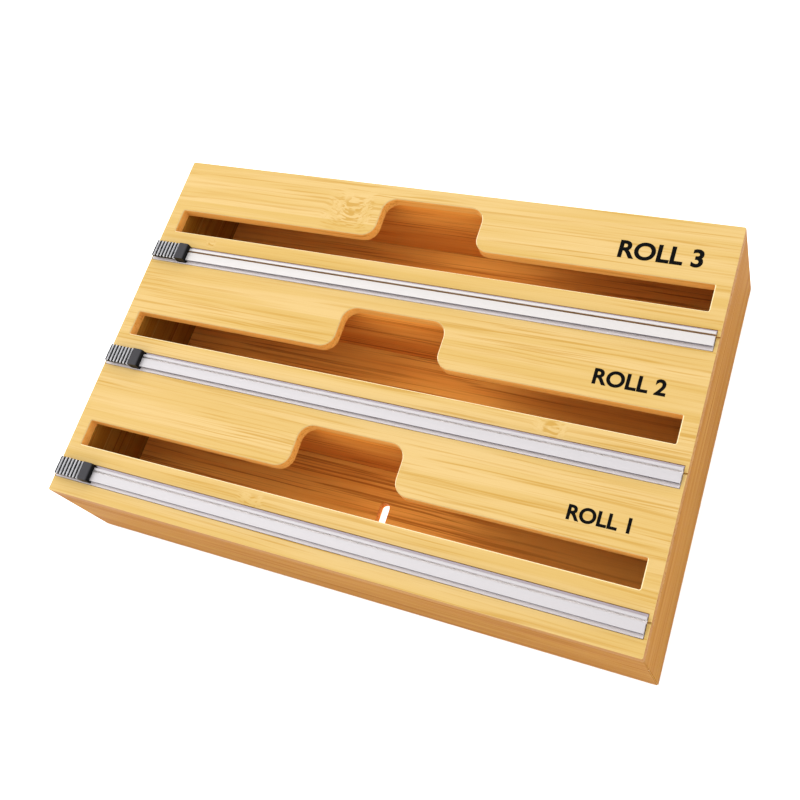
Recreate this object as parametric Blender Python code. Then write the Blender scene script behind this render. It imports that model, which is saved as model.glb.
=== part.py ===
"""A bamboo dispenser for three rolls of kitchen wrap, with a slide cutter in front of each slot.

Run it with: blender --background --python part.py

Units are metres. Pieces are placed from the box's front left bottom corner: X to the right,
Y to the back, Z up. The empty "dispenser" then puts the middle of the footprint at the origin.
The rolls lie along X. The lid swings up on two hinges at the back.
"""

import math

import bmesh
import bpy
from mathutils import Matrix, Vector

MM = 0.001

# Clearances
FIT = 0.3 * MM  # between pieces that touch
MITRE_FIT = 0.1 * MM  # between two walls at a corner
LID_REST = 0.2 * MM  # between the closed lid and the walls
THIN_FIT = 0.15 * MM  # above and below the adhesive tape
CLAW_FIT = 0.4 * MM  # between a slide cutter's claws and its track's stem

# Box
BOX_W = 330.0 * MM
BOX_D = 217.0 * MM
BOX_H = 64.0 * MM  # closed, to the lid's top face
WALL_T = 8.0 * MM
LID_T = 7.0 * MM
DIVIDER_T = 8.0 * MM
BASE_T = 5.5 * MM
BASE_RAISE = 1.0 * MM  # the base board's underside above the walls' feet
GROOVE = 2.5 * MM  # depth of the grooves that hold the base board and the dividers
CORNER_SOFT = 0.6 * MM  # flat taken off the box's four upright corners
EDGE_SOFT = 0.5 * MM  # rounding of the lid's top edge and the walls' bottom edges
BAYS = 3

WALL_H = BOX_H - LID_T - LID_REST
BASE_TOP = BASE_RAISE + BASE_T
BAY_D = (BOX_D - 2 * WALL_T - (BAYS - 1) * DIVIDER_T) / BAYS
PITCH = BAY_D + DIVIDER_T
LID_Z = BOX_H - LID_T

# Slots and finger notches in the lid
SLOT_BACKSET = 21.0 * MM  # from a bay's front face to its slot's front edge
SLOT_Y = 14.8 * MM
SLOT_END_MARGIN = 8.0 * MM  # wood left between a slot and the lid's side
NOTCH_W = 60.0 * MM
NOTCH_Y = 25.5 * MM
NOTCH_R = 8.0 * MM
SLOT_R = 0.8 * MM
SLOT_CHAMFER = 0.5 * MM

# Hanging slot in the base board
HANG_SLOT_W = 5.9 * MM
HANG_ASIDE = 5.3 * MM  # from the middle of the box to the right
HANG_SLOT_Y = 30.0 * MM
HANG_HEAD_D = 10.0 * MM
HANG_BACK_Y = 52.0 * MM  # the round end's back, from the box's front

# Cutter track
TRACK_W = 11.0 * MM
TRACK_BASE_T = 0.7 * MM
HEAD_W = 7.8 * MM
HEAD_Z = 2.0 * MM  # the head's underside above the track's underside
TRACK_H = 3.0 * MM
CUT_GROOVE_W = 1.0 * MM
CUT_GROOVE_FLOOR = 1.0 * MM
CUT_GROOVE_BACK = 1.9 * MM  # from the track's centre line back to the cutting groove's
KERF_W = 1.0 * MM  # saw cut that runs on from the cutting groove to the lid's right side
TRACK_SETBACK = 15.0 * MM  # from a slot's front edge to its track's centre line
TRACK_LEFT = 1.0 * MM
TRACK_RIGHT = 2.0 * MM
TAPE_T = 0.5 * MM
TAPE_W = 9.6 * MM
TAPE_END = 3.0 * MM

CLAW_REACH = 0.6 * MM  # how far a slide cutter's claws reach in under the head
STEM_W = HEAD_W - 2 * (CLAW_REACH + CLAW_FIT)

REBATE_W = TRACK_W + 2 * FIT
REBATE_Z = TAPE_T + 2 * THIN_FIT + TRACK_BASE_T
TRACK_Z = BOX_H - TRACK_BASE_T

# Slide cutter
SLIDER_L = 22.4 * MM
SLIDER_REST = 2.0 * MM  # from a track's left end to its slide cutter at rest
SLIDER_WALL = 0.8 * MM
RIB_PART_L = 16.0 * MM
RIB_COUNT = 7
RIB_BASE_Z = 4.5 * MM
RIB_TOP_Z = 5.6 * MM
RIB_CREST_START = 0.12  # as parts of the pitch, from a rib's left foot
RIB_CREST_END = 0.50
RIB_FOOT = 0.62
BLOCK_TOP_Z = 6.4 * MM
BLOCK_R = 1.3 * MM
BLOCK_LEFT_R = 0.6 * MM
SHOE_L = 4.2 * MM
SHOE_W = 3.0 * MM
SHOE_H = 1.8 * MM
SHOE_END = 1.2 * MM  # from the slider's right end to the shoe
BLADE_L = 2.8 * MM
BLADE_T = 0.4 * MM
BLADE_EDGE = 0.6 * MM  # flat at the blade's tip
BLADE_DIP = 1.6 * MM  # how far the blade reaches below the track's top
BLADE_GRIP = 1.1 * MM  # how far the blade reaches up into the shoe

SLIDER_W = HEAD_W + 2 * FIT + 2 * SLIDER_WALL
SLIDER_FLOOR = TRACK_H + FIT

# Hinges
HINGE_L = 30.0 * MM
HINGE_INSET = 45.0 * MM  # from the box's side to the hinge's near end
LEAF_T = 1.0 * MM
LEAF_Y = 7.5 * MM
KNUCKLE_R = 1.5 * MM
PIN_R = 0.6 * MM
PIN_HEAD_R = 1.2 * MM
PIN_HEAD_L = 0.8 * MM
MID_KNUCKLE_L = 10.0 * MM
HINGE_SCREW_INSET = 6.0 * MM

AXIS_Y = BOX_D + FIT + KNUCKLE_R
AXIS_Z = WALL_H + LID_REST / 2
DEPTH_ALL = AXIS_Y + KNUCKLE_R

# Hinge screws
SCREW_HEAD_R = 1.8 * MM
SCREW_HEAD_H = 0.8 * MM
SCREW_R = 0.9 * MM
SCREW_TIP_R = 0.3 * MM
SCREW_TIP_L = 1.2 * MM
BOX_SCREW_L = 8.0 * MM
LID_SCREW_L = 4.6 * MM
SCREW_CROSS_L = 1.8 * MM
SCREW_CROSS_W = 0.35 * MM
SCREW_CROSS_Z = 0.45 * MM

# Magnets
MAGNET_R = 2.5 * MM
MAGNET_T = 2.0 * MM
MAGNET_INSET = 20.0 * MM

# Modelling
CUT_PAST = 8.0 * MM  # how far a cutter runs out past what it cuts
FACETS = 24  # sides of a turned shape
ROUND_STEPS = 3  # straight runs in a small rounding
NOTCH_STEPS = 8
BLOCK_STEPS = 5
KEYHOLE_STEPS = 10
SHARP_DEG = 35  # edges steeper than this stay sharp on a smooth shape

BAMBOO = (0.78, 0.52, 0.25)
BAMBOO_EDGE = (0.55, 0.29, 0.10)
CLEAR_PLASTIC = (0.80, 0.81, 0.83)
TAPE_WHITE = (0.85, 0.85, 0.84)
SLIDER_GREY = (0.055, 0.06, 0.065)
SHOE_BLACK = (0.02, 0.02, 0.02)
STEEL = (0.60, 0.60, 0.61)
ZINC = (0.55, 0.55, 0.56)
MAGNET_NICKEL = (0.68, 0.67, 0.65)


# Scene and small tools


def clear_scene():
    for old in list(bpy.data.objects):
        bpy.data.objects.remove(old, do_unlink=True)


def make_material(name, color, roughness, metallic=0.0, alpha=1.0):
    material = bpy.data.materials.new(name)
    material.use_nodes = True
    shader = material.node_tree.nodes["Principled BSDF"]
    shader.inputs["Base Color"].default_value = (*color, 1.0)
    shader.inputs["Roughness"].default_value = roughness
    shader.inputs["Metallic"].default_value = metallic
    shader.inputs["Alpha"].default_value = alpha
    return material


def add_empty(name, parent=None, location=(0, 0, 0)):
    empty = bpy.data.objects.new(name, None)
    bpy.context.scene.collection.objects.link(empty)
    empty.parent = parent
    empty.location = location
    return empty


def add_object(name, mesh, parent, location=(0, 0, 0), material=None, smooth=False):
    obj = bpy.data.objects.new(name, mesh)
    bpy.context.scene.collection.objects.link(obj)
    obj.parent = parent
    obj.location = location
    if material:
        mesh.materials.clear()
        mesh.materials.append(material)
    if smooth:
        mesh.shade_smooth()
        mesh.set_sharp_from_angle(angle=math.radians(SHARP_DEG))
    return obj


def mesh_from(bm, name):
    bmesh.ops.recalc_face_normals(bm, faces=bm.faces)
    mesh = bpy.data.meshes.new(name)
    bm.to_mesh(mesh)
    bm.free()
    return mesh


def cut(obj, cutter, operation="DIFFERENCE"):
    """Applies a Boolean to the object, with the cutter kept as a hidden wire."""
    cutter.hide_render = True
    cutter.display_type = "WIRE"
    modifier = obj.modifiers.new(cutter.name, "BOOLEAN")
    modifier.operation = operation
    modifier.solver = "EXACT"
    modifier.object = cutter
    return obj


# Shapes, each a mesh


def box_mesh(name, low, high):
    """A box between two corners."""
    low, high = Vector(low), Vector(high)
    bm = bmesh.new()
    bmesh.ops.create_cube(bm, size=1.0)
    place = Matrix.Translation((low + high) / 2) @ Matrix.Diagonal((*(high - low), 1.0))
    bmesh.ops.transform(bm, matrix=place, verts=bm.verts)
    return mesh_from(bm, name)


def prism_mesh(name, outline, start, end, axis="Z"):
    """A straight prism along one axis.

    The outline's points are (x, y) for axis Z, (y, z) for axis X and (x, z) for axis Y.
    """

    def corner(point, along):
        a, b = point
        return {"Z": (a, b, along), "X": (along, a, b), "Y": (a, along, b)}[axis]

    return loft_mesh(name, [[corner(p, along) for p in outline] for along in (start, end)])


def loft_mesh(name, rings):
    """A closed shape through rings of equally many points, capped at both ends."""
    bm = bmesh.new()
    loops = [[bm.verts.new(point) for point in ring] for ring in rings]
    count = len(loops[0])
    for lower, upper in zip(loops, loops[1:]):
        for i in range(count):
            j = (i + 1) % count
            bm.faces.new((lower[i], lower[j], upper[j], upper[i]))
    bm.faces.new(loops[0][::-1])
    bm.faces.new(loops[-1])
    return mesh_from(bm, name)


def turned_mesh(name, profile, axis="Z"):
    """A turned shape. The profile is (radius, height) from one end of the axis to the other."""
    rings = []
    for radius, height in profile:
        ring = []
        for i in range(FACETS):
            angle = 2 * math.pi * i / FACETS
            a, b = radius * math.cos(angle), radius * math.sin(angle)
            ring.append((a, b, height) if axis == "Z" else (height, a, b))
        rings.append(ring)
    return loft_mesh(name, rings)


def arc_points(centre, radius, start_deg, end_deg, steps):
    points = []
    for i in range(steps + 1):
        angle = math.radians(start_deg + (end_deg - start_deg) * i / steps)
        points.append((centre[0] + radius * math.cos(angle), centre[1] + radius * math.sin(angle)))
    return points


# Outlines


def slot_outline(grow):
    """A slot with its finger notch, seen from above and widened all round by grow.

    Its zero is on the slot's front edge, at the box's left side.
    """
    left = SLOT_END_MARGIN
    right = BOX_W - SLOT_END_MARGIN
    notch_left = BOX_W / 2 - NOTCH_W / 2
    notch_right = BOX_W / 2 + NOTCH_W / 2
    back = SLOT_Y
    notch_back = SLOT_Y + NOTCH_Y
    inner = SLOT_R + grow
    outer = NOTCH_R + grow
    throat = NOTCH_R - grow
    outline = []
    outline += arc_points((left + SLOT_R, SLOT_R), inner, 180, 270, ROUND_STEPS)
    outline += arc_points((right - SLOT_R, SLOT_R), inner, 270, 360, ROUND_STEPS)
    outline += arc_points((right - SLOT_R, back - SLOT_R), inner, 0, 90, ROUND_STEPS)
    outline += arc_points((notch_right + NOTCH_R, back + NOTCH_R), throat, 270, 180, NOTCH_STEPS)
    outline += arc_points((notch_right - NOTCH_R, notch_back - NOTCH_R), outer, 0, 90, NOTCH_STEPS)
    outline += arc_points((notch_left + NOTCH_R, notch_back - NOTCH_R), outer, 90, 180, NOTCH_STEPS)
    outline += arc_points((notch_left - NOTCH_R, back + NOTCH_R), throat, 360, 270, NOTCH_STEPS)
    outline += arc_points((left + SLOT_R, back - SLOT_R), inner, 90, 180, ROUND_STEPS)
    return outline


def hang_slot_outline():
    """The keyhole in the base board: a narrow slot whose wide end is nearer the front."""
    centre_x = BOX_W / 2 + HANG_ASIDE
    half = HANG_SLOT_W / 2
    narrow_y = HANG_BACK_Y - half
    head_r = HANG_HEAD_D / 2
    head_y = HANG_BACK_Y - HANG_SLOT_Y
    meet = math.degrees(math.asin(half / head_r))
    outline = arc_points((centre_x, narrow_y), half, 0, 180, KEYHOLE_STEPS)
    outline += arc_points((centre_x, head_y), head_r, 90 + meet, 450 - meet, 2 * KEYHOLE_STEPS)
    return outline


def track_outline():
    """The cutter track's section as (y, z) from the middle of its underside."""
    side = [
        (TRACK_W / 2, 0.0),
        (TRACK_W / 2, TRACK_BASE_T),
        (STEM_W / 2, TRACK_BASE_T),
        (STEM_W / 2, HEAD_Z),
        (HEAD_W / 2, HEAD_Z),
        (HEAD_W / 2, TRACK_H),
    ]
    groove_back = CUT_GROOVE_BACK + CUT_GROOVE_W / 2
    groove_front = CUT_GROOVE_BACK - CUT_GROOVE_W / 2
    groove = [
        (groove_back, TRACK_H),
        (groove_back, CUT_GROOVE_FLOOR),
        (groove_front, CUT_GROOVE_FLOOR),
        (groove_front, TRACK_H),
    ]
    return side + groove + [(-y, z) for y, z in reversed(side)]


def channel_outline():
    """What a slide cutter leaves open for the track, with two claws under the head."""
    open_half = HEAD_W / 2 + FIT
    claw_half = HEAD_W / 2 - CLAW_REACH
    claw_top = HEAD_Z - FIT
    below = TRACK_BASE_T
    side = [
        (claw_half, below),
        (claw_half, claw_top),
        (open_half, claw_top),
        (open_half, SLIDER_FLOOR),
    ]
    return side + [(-y, z) for y, z in reversed(side)]


def slider_outline():
    """A slide cutter's side view as (x, z): a ribbed plate on the left, a rounded block on the right.

    Only the block reaches down past the track's head.
    """
    foot = TRACK_BASE_T + FIT
    rib_pitch = RIB_PART_L / RIB_COUNT
    outline = [(SLIDER_L, foot)]
    right = (SLIDER_L - BLOCK_R, BLOCK_TOP_Z - BLOCK_R)
    left = (RIB_PART_L + BLOCK_LEFT_R, BLOCK_TOP_Z - BLOCK_LEFT_R)
    outline += arc_points(right, BLOCK_R, 0, 90, BLOCK_STEPS)
    outline += arc_points(left, BLOCK_LEFT_R, 90, 180, ROUND_STEPS)
    outline.append((RIB_PART_L, RIB_BASE_Z))
    for i in reversed(range(RIB_COUNT)):
        left = i * rib_pitch
        outline += [
            (left + RIB_FOOT * rib_pitch, RIB_BASE_Z),
            (left + RIB_CREST_END * rib_pitch, RIB_TOP_Z),
            (left + RIB_CREST_START * rib_pitch, RIB_TOP_Z),
            (left, RIB_BASE_Z),
        ]
    outline += [(0.0, SLIDER_FLOOR), (RIB_PART_L, SLIDER_FLOOR), (RIB_PART_L, foot)]
    return outline


# Box


def mitred_outline(length, inset):
    """The plan outline of a wall along X at Y zero, mitred at both ends.

    Its outer face and its corner flats are pulled in by inset.
    """
    gap = MITRE_FIT / 2 * math.sqrt(2)
    face_x = inset + CORNER_SOFT
    mitre_y = (2 * inset + CORNER_SOFT - gap) / 2
    near_end = [(WALL_T + gap, WALL_T), (mitre_y + gap, mitre_y), (face_x, inset)]
    far_end = [(length - x, y) for x, y in reversed(near_end)]
    return near_end + far_end


def wall_mesh(name, side):
    """One wall of the box, with its outer bottom edge rounded."""
    rings = []
    for z, inset in [(0.0, EDGE_SOFT), (EDGE_SOFT, 0.0), (WALL_H, 0.0)]:
        if side in ("front", "back"):
            ring = [(x, y, z) for x, y in mitred_outline(BOX_W, inset)]
        else:
            ring = [(y, x, z) for x, y in mitred_outline(BOX_D, inset)]
        if side == "back":
            ring = [(x, BOX_D - y, z) for x, y, z in ring]
        if side == "right":
            ring = [(BOX_W - x, y, z) for x, y, z in ring]
        rings.append(ring)
    return loft_mesh(name, rings)


def base_groove_mesh(name):
    """The groove that runs round inside the walls for the base board."""
    reach = WALL_T - GROOVE
    low = (reach, reach, BASE_RAISE - FIT)
    high = (BOX_W - reach, BOX_D - reach, BASE_TOP + FIT)
    return box_mesh(name, low, high)


def divider_front(i):
    """Y of a divider's front face."""
    return WALL_T + BAY_D + i * PITCH


def magnet_centres():
    return [(MAGNET_INSET, WALL_T / 2), (BOX_W - MAGNET_INSET, WALL_T / 2)]


def hinge_starts():
    return {"left": HINGE_INSET, "right": BOX_W - HINGE_INSET - HINGE_L}


def hinge_screw_xs(start):
    return [start + HINGE_SCREW_INSET, start + HINGE_L - HINGE_SCREW_INSET]


def build_walls(root, bamboo):
    walls = {}
    groove = add_object("base_groove_cutter", base_groove_mesh("groove"), root)
    for side in ("front", "back", "left", "right"):
        name = f"{side}_wall"
        walls[side] = add_object(name, wall_mesh(name, side), root, material=bamboo)
        cut(walls[side], groove)
    for i in range(BAYS - 1):
        low = (WALL_T - GROOVE, divider_front(i) - FIT, BASE_TOP)
        high = (BOX_W - WALL_T + GROOVE, divider_front(i) + DIVIDER_T + FIT, BOX_H)
        dado = add_object(f"dado_cutter_{i}", box_mesh("dado", low, high), root)
        cut(walls["left"], dado)
        cut(walls["right"], dado)
    for i, (x, y) in enumerate(magnet_centres()):
        bore = [(MAGNET_R + FIT, WALL_H - MAGNET_T - FIT), (MAGNET_R + FIT, BOX_H)]
        cutter = add_object(f"box_magnet_cutter_{i}", turned_mesh("bore", bore), root, (x, y, 0))
        cut(walls["front"], cutter)
    for side, start in hinge_starts().items():
        low = (start - FIT, BOX_D - WALL_T - CUT_PAST, WALL_H - LEAF_T - FIT)
        high = (start + HINGE_L + FIT, BOX_D + CUT_PAST, BOX_H)
        mortise = add_object(f"wall_mortise_cutter_{side}", box_mesh("mortise", low, high), root)
        cut(walls["back"], mortise)
        for j, x in enumerate(hinge_screw_xs(start)):
            pilot = [(SCREW_R + FIT, WALL_H - BOX_SCREW_L - FIT), (SCREW_R + FIT, BOX_H)]
            place = (x, BOX_D - WALL_T / 2, 0)
            name = f"wall_pilot_cutter_{side}_{j}"
            cut(walls["back"], add_object(name, turned_mesh("pilot", pilot), root, place))


def build_base(root, bamboo):
    reach = WALL_T - GROOVE + FIT
    low = (reach, reach, BASE_RAISE)
    high = (BOX_W - reach, BOX_D - reach, BASE_TOP)
    base = add_object("base_board", box_mesh("base_board", low, high), root, material=bamboo)
    keyhole = prism_mesh("keyhole", hang_slot_outline(), -CUT_PAST, BASE_TOP + CUT_PAST)
    cut(base, add_object("base_keyhole_cutter", keyhole, root))
    return base


def build_dividers(root, bamboo):
    names = ["front_divider", "rear_divider"]
    for i in range(BAYS - 1):
        low = (WALL_T - GROOVE + FIT, divider_front(i), BASE_TOP + FIT)
        high = (BOX_W - WALL_T + GROOVE - FIT, divider_front(i) + DIVIDER_T, WALL_H)
        name = names[i] if i < len(names) else f"divider_{i}"
        add_object(name, box_mesh(name, low, high), root, material=bamboo)


# Lid


def slot_front(i):
    """Y of a slot's front edge."""
    return WALL_T + i * PITCH + SLOT_BACKSET


def track_y(i):
    return slot_front(i) - TRACK_SETBACK


def lid_outline(inset):
    """The lid's plan outline, pulled in all round by inset."""
    low, soft = inset, CORNER_SOFT
    right, back = BOX_W - inset, BOX_D - inset
    return [
        (low + soft, low), (right - soft, low), (right, low + soft), (right, back - soft),
        (right - soft, back), (low + soft, back), (low, back - soft), (low, low + soft),
    ]  # fmt: skip


def lid_blank_mesh():
    """The lid before it is cut, with its top edge rounded."""
    levels = [(LID_Z, 0.0)]
    for i in range(ROUND_STEPS + 1):
        angle = math.radians(90) * i / ROUND_STEPS
        z = BOX_H - EDGE_SOFT * (1 - math.sin(angle))
        levels.append((z, EDGE_SOFT * (1 - math.cos(angle))))
    return loft_mesh("lid_panel", [[(x, y, z) for x, y in lid_outline(g)] for z, g in levels])


def build_lid(lid_hinge, bamboo):
    to_lid = Vector((0, -AXIS_Y, -AXIS_Z))
    lid = add_object("lid_panel", lid_blank_mesh(), lid_hinge, to_lid, bamboo)
    levels = [
        (LID_Z - SLOT_CHAMFER, 2 * SLOT_CHAMFER),
        (LID_Z + SLOT_CHAMFER, 0.0),
        (BOX_H - SLOT_CHAMFER, 0.0),
        (BOX_H + SLOT_CHAMFER, 2 * SLOT_CHAMFER),
    ]
    for i in range(BAYS):
        rings = [[(x, y, z) for x, y in slot_outline(grow)] for z, grow in levels]
        place = to_lid + Vector((0, slot_front(i), 0))
        cut(lid, add_object(f"slot_cutter_{i}", loft_mesh("slot", rings), lid_hinge, place))
        low = (TRACK_LEFT - FIT, track_y(i) - REBATE_W / 2, BOX_H - REBATE_Z)
        high = (BOX_W - TRACK_RIGHT + FIT, track_y(i) + REBATE_W / 2, BOX_H + CUT_PAST)
        rebate = add_object(f"rebate_cutter_{i}", box_mesh("rebate", low, high), lid_hinge, to_lid)
        cut(lid, rebate)
        kerf_y = track_y(i) + CUT_GROOVE_BACK
        low = (BOX_W - TRACK_RIGHT - FIT, kerf_y - KERF_W / 2, BOX_H - REBATE_Z + THIN_FIT)
        high = (BOX_W + CUT_PAST, kerf_y + KERF_W / 2, BOX_H + CUT_PAST)
        cut(lid, add_object(f"kerf_cutter_{i}", box_mesh("kerf", low, high), lid_hinge, to_lid))
    for i, (x, y) in enumerate(magnet_centres()):
        bore = [(MAGNET_R + FIT, LID_Z - CUT_PAST), (MAGNET_R + FIT, LID_Z + MAGNET_T + FIT)]
        place = to_lid + Vector((x, y, 0))
        cut(lid, add_object(f"lid_magnet_cutter_{i}", turned_mesh("bore", bore), lid_hinge, place))
    for side, start in hinge_starts().items():
        low = (start - FIT, BOX_D - LEAF_Y - FIT, LID_Z - CUT_PAST)
        high = (start + HINGE_L + FIT, BOX_D + CUT_PAST, LID_Z + LEAF_T + FIT)
        mortise = box_mesh("mortise", low, high)
        cut(lid, add_object(f"lid_mortise_cutter_{side}", mortise, lid_hinge, to_lid))
        for j, x in enumerate(hinge_screw_xs(start)):
            pilot = [(SCREW_R + FIT, LID_Z - CUT_PAST), (SCREW_R + FIT, LID_Z + LID_SCREW_L + FIT)]
            place = to_lid + Vector((x, BOX_D - WALL_T / 2, 0))
            name = f"lid_pilot_cutter_{side}_{j}"
            cut(lid, add_object(name, turned_mesh("pilot", pilot), lid_hinge, place))
    return lid


# Hinges, screws and magnets


def screw_profile(length):
    """A countersunk screw from its tip up to its flat head at height 0."""
    return [
        (SCREW_TIP_R, -length),
        (SCREW_R, -length + SCREW_TIP_L),
        (SCREW_R, -SCREW_HEAD_H),
        (SCREW_HEAD_R, 0.0),
    ]


def screw_sink_profile():
    """The countersink that a leaf has for its screw, running out past both faces."""
    neck = SCREW_R + FIT
    flare = (SCREW_HEAD_R - SCREW_R) / SCREW_HEAD_H
    return [(neck, -CUT_PAST), (neck, -SCREW_HEAD_H), (neck + 2 * SCREW_HEAD_H * flare, SCREW_HEAD_H)]


def cross_mesh(name):
    """A plus-shaped recess for the driver, cut down into a screw's head."""
    a, b = SCREW_CROSS_L / 2, SCREW_CROSS_W / 2
    outline = [
        (-a, -b), (-b, -b), (-b, -a), (b, -a), (b, -b), (a, -b),
        (a, b), (b, b), (b, a), (-b, a), (-b, b), (-a, b),
    ]  # fmt: skip
    return prism_mesh(name, outline, -SCREW_CROSS_Z, CUT_PAST)


def add_screw(name, length, parent, location, up, zinc):
    """A screw whose head faces up, or down when up is False."""
    turn = (0, 0, 0) if up else (math.pi, 0, 0)
    screw = add_object(name, turned_mesh(name, screw_profile(length)), parent, location, zinc, True)
    screw.rotation_euler = turn
    recess = add_object(name + "_cross_cutter", cross_mesh("cross"), parent, location)
    recess.rotation_euler = turn
    cut(screw, recess)
    return screw


def leaf_outline(knuckles):
    """A hinge leaf in plan as (x, y) from its near end and its axis, with a tab to each knuckle."""
    front, back = BOX_D - LEAF_Y - AXIS_Y, BOX_D - AXIS_Y
    tab_end = -KNUCKLE_R / 2
    outline = [(0.0, front), (HINGE_L, front), (HINGE_L, back)]
    for first, last in reversed(knuckles):
        outline += [(last, back), (last, tab_end), (first, tab_end), (first, back)]
    outline.append((0.0, back))
    return list(dict.fromkeys(outline))


def build_leaf(name, side, start, parent, plate_z, knuckles, screws_up, zinc):
    """One hinge leaf with its own knuckles, bored for the pin and sunk for its screws.

    plate_z is the plate's lower face and the knuckles are (from, to) along the hinge, all
    measured from the hinge's axis.
    """
    place = (start, 0, 0)
    plate = prism_mesh(name, leaf_outline(knuckles), plate_z, plate_z + LEAF_T)
    leaf = add_object(name, plate, parent, place, zinc)
    for k, (first, last) in enumerate(knuckles):
        roll = turned_mesh("knuckle", [(KNUCKLE_R, first), (KNUCKLE_R, last)], "X")
        knuckle = add_object(f"{name}_knuckle_{k}", roll, parent, place)
        cut(leaf, knuckle, "UNION")
    bore = [(PIN_R + FIT, -CUT_PAST), (PIN_R + FIT, HINGE_L + CUT_PAST)]
    cut(leaf, add_object(f"{name}_bore_cutter", turned_mesh("bore", bore, "X"), parent, place))
    for j, x in enumerate(hinge_screw_xs(0.0)):
        head_z = plate_z + LEAF_T if screws_up else plate_z
        at = (start + x, BOX_D - WALL_T / 2 - AXIS_Y, head_z)
        sink = add_object(f"{name}_sink_cutter_{j}", turned_mesh("sink", screw_sink_profile()), parent, at)
        sink.rotation_euler = (0, 0, 0) if screws_up else (math.pi, 0, 0)
        cut(leaf, sink)
        length = BOX_SCREW_L if screws_up else LID_SCREW_L
        owner = "box" if screws_up else "lid"
        add_screw(f"{side}_hinge_{owner}_screw_{j + 1}", length, parent, at, screws_up, zinc)
    return leaf


def build_hinges(box_axis, lid_hinge, zinc):
    mid_low = (HINGE_L - MID_KNUCKLE_L) / 2
    mid_high = mid_low + MID_KNUCKLE_L
    outer = [(0.0, mid_low - FIT), (mid_high + FIT, HINGE_L)]
    middle = [(mid_low, mid_high)]
    box_plate_z = WALL_H - LEAF_T - AXIS_Z
    lid_plate_z = LID_Z - AXIS_Z
    pin_profile = [
        (PIN_HEAD_R, -FIT - PIN_HEAD_L),
        (PIN_HEAD_R, -FIT),
        (PIN_R, -FIT),
        (PIN_R, HINGE_L + FIT),
    ]
    for side, start in hinge_starts().items():
        build_leaf(f"{side}_hinge_box_leaf", side, start, box_axis, box_plate_z, outer, True, zinc)
        build_leaf(f"{side}_hinge_lid_leaf", side, start, lid_hinge, lid_plate_z, middle, False, zinc)
        name = f"{side}_hinge_pin"
        mesh = turned_mesh(name, pin_profile, "X")
        add_object(name, mesh, box_axis, (start, 0, 0), zinc, True)


def build_magnets(root, lid_hinge, nickel):
    for side, (x, y) in zip(("left", "right"), magnet_centres()):
        disc = [(MAGNET_R, 0.0), (MAGNET_R, MAGNET_T)]
        name = f"{side}_box_magnet"
        place = (x, y, WALL_H - MAGNET_T)
        add_object(name, turned_mesh(name, disc), root, place, nickel, True)
        name = f"{side}_lid_magnet"
        place = (x, y - AXIS_Y, LID_Z - AXIS_Z)
        add_object(name, turned_mesh(name, disc), lid_hinge, place, nickel, True)


# Tracks and slide cutters


def build_track(prefix, i, lid_hinge, clear, tape_white):
    base = Vector((0, track_y(i) - AXIS_Y, -AXIS_Z))
    name = f"{prefix}_track"
    mesh = prism_mesh(name, track_outline(), TRACK_LEFT, BOX_W - TRACK_RIGHT, "X")
    add_object(name, mesh, lid_hinge, base + Vector((0, 0, TRACK_Z)), clear)
    name = f"{prefix}_track_tape"
    tape_z = BOX_H - REBATE_Z + THIN_FIT
    low = (TRACK_LEFT + TAPE_END, -TAPE_W / 2, tape_z)
    high = (BOX_W - TRACK_RIGHT - TAPE_END, TAPE_W / 2, tape_z + TAPE_T)
    add_object(name, box_mesh(name, low, high), lid_hinge, base, tape_white)


def blade_outline(middle_x):
    """The blade's side view as (x, z): square in its carrier, sloping to a short flat tip."""
    half, tip = BLADE_L / 2, BLADE_EDGE / 2
    top = SLIDER_FLOOR + BLADE_GRIP
    return [
        (middle_x - half, top),
        (middle_x - half, SLIDER_FLOOR),
        (middle_x - tip, TRACK_H - BLADE_DIP),
        (middle_x + tip, TRACK_H - BLADE_DIP),
        (middle_x + half, SLIDER_FLOOR),
        (middle_x + half, top),
    ]


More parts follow.
